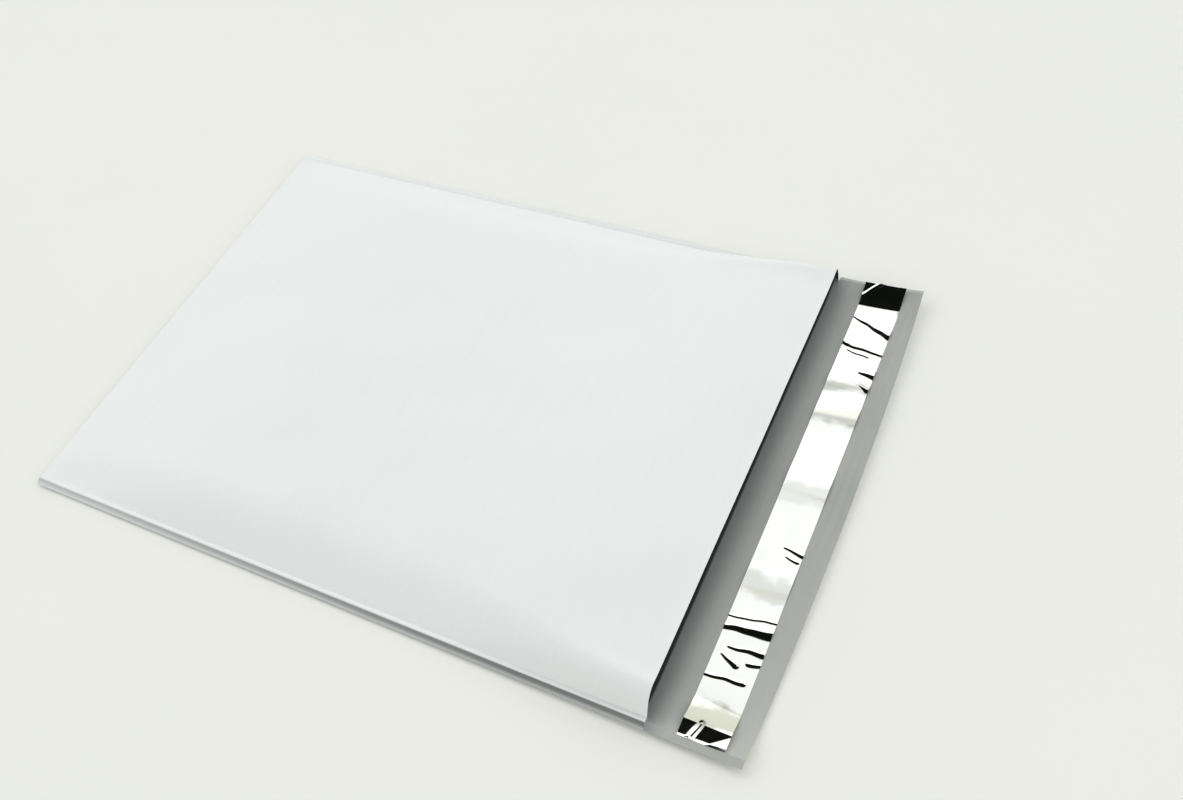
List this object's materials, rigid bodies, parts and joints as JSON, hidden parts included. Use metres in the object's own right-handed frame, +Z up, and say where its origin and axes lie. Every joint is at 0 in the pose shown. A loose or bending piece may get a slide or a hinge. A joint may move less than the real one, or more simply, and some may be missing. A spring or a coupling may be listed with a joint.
{
  "type": "poly mailer",
  "caption": "Flat plastic mailing bag with its mouth open and its adhesive flap laid out under a silvery release liner.",
  "frame": {"origin": "on the surface that the bag lies on, under the middle of its outline", "axes": "+X from the closed end to the flap's edge, +Y across the bag, +Z up through the white front panel"},
  "size_m": [0.3453, 0.2286, 0.0151],
  "materials": {
    "mailer_film": "blown polyethylene film, opaque white outside and grey inside, satin",
    "hot_melt_adhesive": "pale, slightly glossy pressure-sensitive hot melt",
    "silver_liner": "metallised polyester film, bright and lightly creased"
  },
  "bodies": {
    "root": {"mailer_bag": "mailer_film", "adhesive_strip": "hot_melt_adhesive", "release_liner": "silver_liner"}
  },
  "joints": []
}
